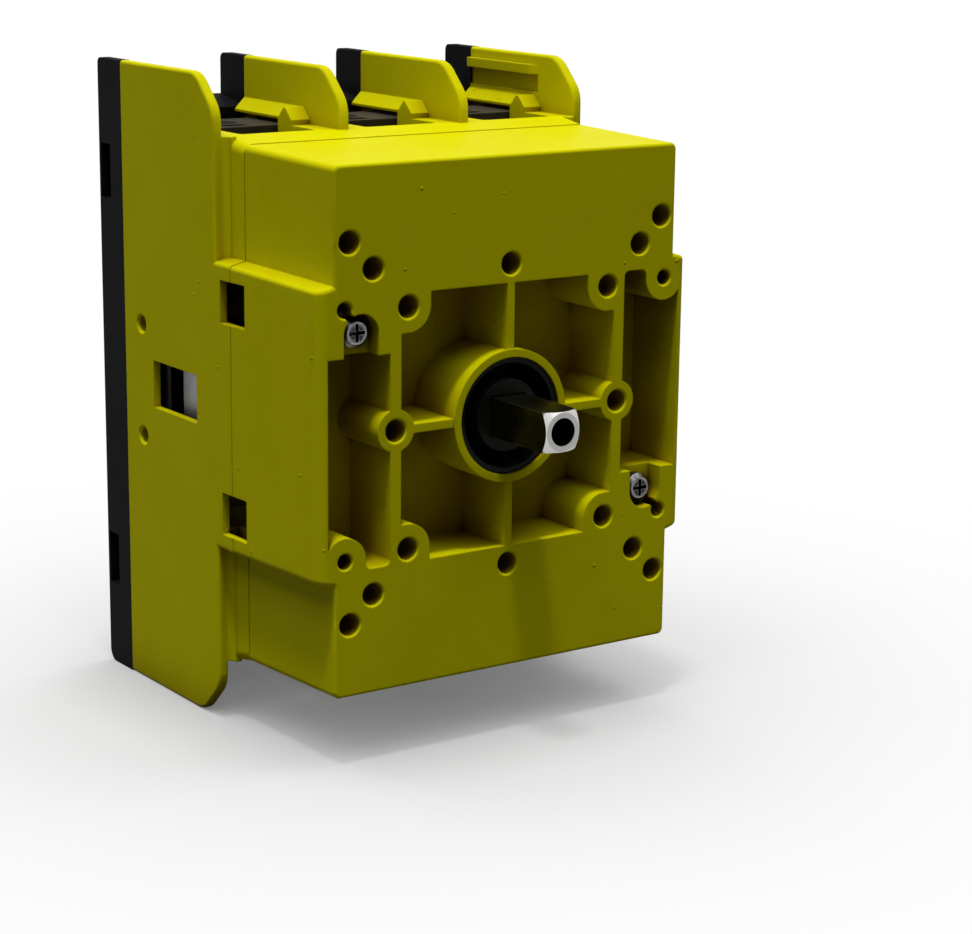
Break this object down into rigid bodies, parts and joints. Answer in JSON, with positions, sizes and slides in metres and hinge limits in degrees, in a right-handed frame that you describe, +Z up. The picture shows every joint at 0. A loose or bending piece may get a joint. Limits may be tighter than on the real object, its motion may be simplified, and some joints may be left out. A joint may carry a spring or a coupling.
{
  "type": "rotary switch disconnector",
  "caption": "Rotary switch disconnector with ribbed yellow housing, black base, terminal bays and a square shaft that moves bridging contacts.",
  "frame": {"origin": "on the shaft axis, in the plane of the front face", "axes": "+X to the right seen from the front, +Y from the front face to the back, +Z up"},
  "size_m": [0.0678, 0.079, 0.0992],
  "materials": {
    "yellow_plastic": "satin",
    "black_plastic": "satin",
    "dark_plastic": "satin",
    "black_steel": "satin",
    "grey_steel": "satin",
    "steel": "satin",
    "zinc_steel": "bright",
    "spring_steel": "bright",
    "copper": "bright"
  },
  "bodies": {
    "housing": {"base": "black_plastic", "middle_housing": "yellow_plastic", "mechanism_cover": "yellow_plastic", "cover_screws": "zinc_steel", "housing_screws": "zinc_steel", "bearing_strap": "steel", "strap_screws": "zinc_steel", "index_spring_right": "spring_steel", "index_spring_left": "spring_steel", "line_contact_1": "copper", "line_arc_plates_1": "steel", "line_terminal_block_1": "dark_plastic", "line_cage_spring_1": "spring_steel", "load_contact_1": "copper", "load_arc_plates_1": "steel", "load_terminal_block_1": "dark_plastic", "load_cage_spring_1": "spring_steel", "line_contact_2": "copper", "line_arc_plates_2": "steel", "line_terminal_block_2": "dark_plastic", "line_cage_spring_2": "spring_steel", "load_contact_2": "copper", "load_arc_plates_2": "steel", "load_terminal_block_2": "dark_plastic", "load_cage_spring_2": "spring_steel", "line_contact_3": "copper", "line_arc_plates_3": "steel", "line_terminal_block_3": "dark_plastic", "line_cage_spring_3": "spring_steel", "load_contact_3": "copper", "load_arc_plates_3": "steel", "load_terminal_block_3": "dark_plastic", "load_cage_spring_3": "spring_steel"},
    "rotor": {"rotor_hub": "black_plastic", "drive_shaft": "black_steel"},
    "carrier": {"contact_carrier": "black_plastic", "auxiliary_fork_right": "grey_steel", "auxiliary_fork_left": "grey_steel", "contact_spring_1": "spring_steel", "contact_spring_2": "spring_steel", "contact_spring_3": "spring_steel"},
    "bridge_1": {"contact_bridge_1": "copper"},
    "bridge_2": {"contact_bridge_2": "copper"},
    "bridge_3": {"contact_bridge_3": "copper"}
  },
  "joints": [
    {"name": "shaft_turn", "type": "hinge", "parent": "housing", "child": "rotor", "pos_m": [0, 0, 0], "axis": [0, 1, 0], "range_deg": [0, 90]},
    {"name": "carrier_slide", "type": "slide", "parent": "housing", "child": "carrier", "axis": [0, 1, 0], "range_m": [0, 0.006]},
    {"name": "bridge_1_press", "type": "slide", "parent": "carrier", "child": "bridge_1", "axis": [0, -1, 0], "range_m": [0, 0.001], "stiffness_N_per_m": 500, "springref_m": -0.003, "deforming": ["contact_spring_1"]},
    {"name": "bridge_2_press", "type": "slide", "parent": "carrier", "child": "bridge_2", "axis": [0, -1, 0], "range_m": [0, 0.001], "stiffness_N_per_m": 500, "springref_m": -0.003, "deforming": ["contact_spring_2"]},
    {"name": "bridge_3_press", "type": "slide", "parent": "carrier", "child": "bridge_3", "axis": [0, -1, 0], "range_m": [0, 0.001], "stiffness_N_per_m": 500, "springref_m": -0.003, "deforming": ["contact_spring_3"]}
  ],
  "couplings": [
    {"joint": "shaft_turn", "follows": "carrier_slide", "rad_per_m": 261.8}
  ]
}
